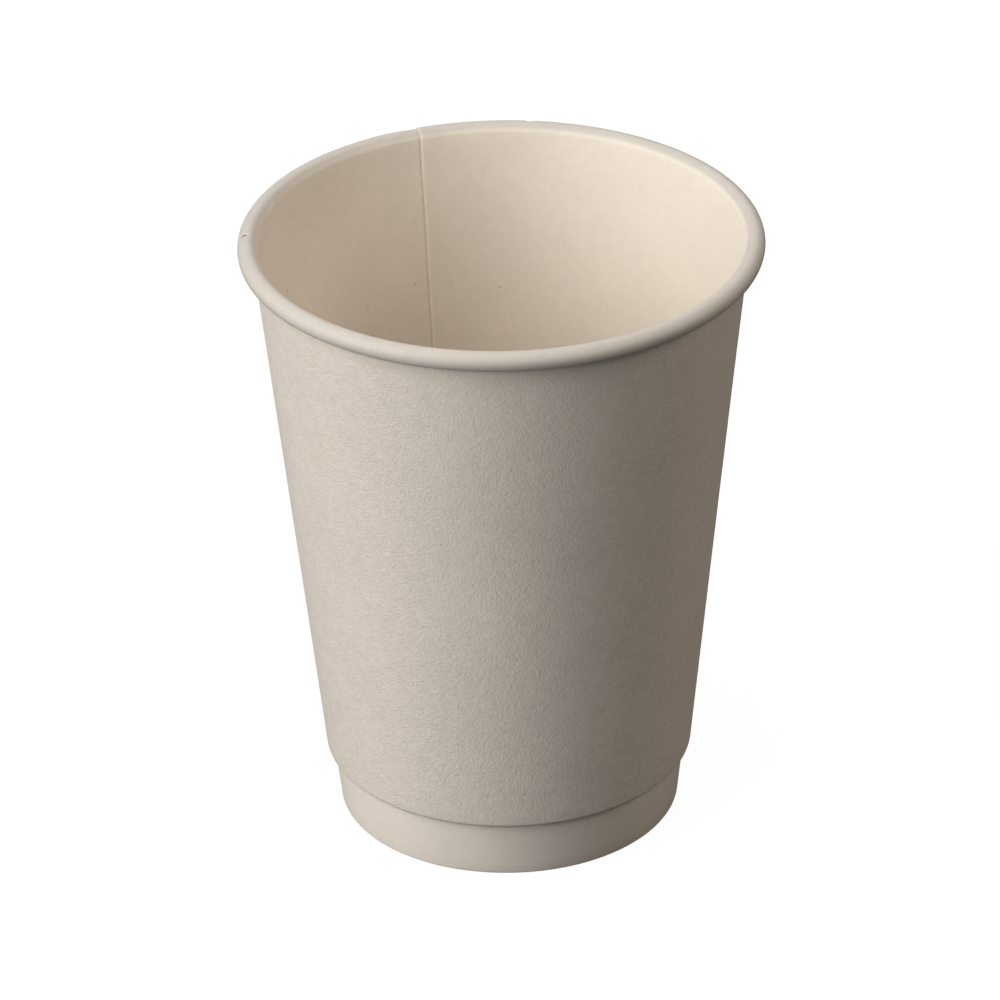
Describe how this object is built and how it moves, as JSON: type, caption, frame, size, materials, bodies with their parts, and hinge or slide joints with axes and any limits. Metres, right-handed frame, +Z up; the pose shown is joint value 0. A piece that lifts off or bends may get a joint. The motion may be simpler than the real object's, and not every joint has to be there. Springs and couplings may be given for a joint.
{
  "type": "paper coffee cup",
  "caption": "Double-wall paper take-away cup: conical wall with a rolled rim and a raised base, in an outer sleeve whose lower edge is turned in above the foot.",
  "frame": {"origin": "centre of the foot, on the surface that the cup stands on", "axes": "+Z up along the cup's axis to the mouth; the inner wall's side seam lies at 109.4 degrees round from +X towards +Y"},
  "size_m": [0.09, 0.09, 0.11],
  "materials": {
    "lined_board": "matt off-white board with a thin lining inside",
    "base_board": "matt off-white board with a thin lining inside",
    "sleeve_board": "matt uncoated off-white board with a fine fibre texture"
  },
  "bodies": {
    "root": {"cup_wall": "lined_board", "base_disc": "base_board", "outer_sleeve": "sleeve_board"}
  },
  "joints": []
}
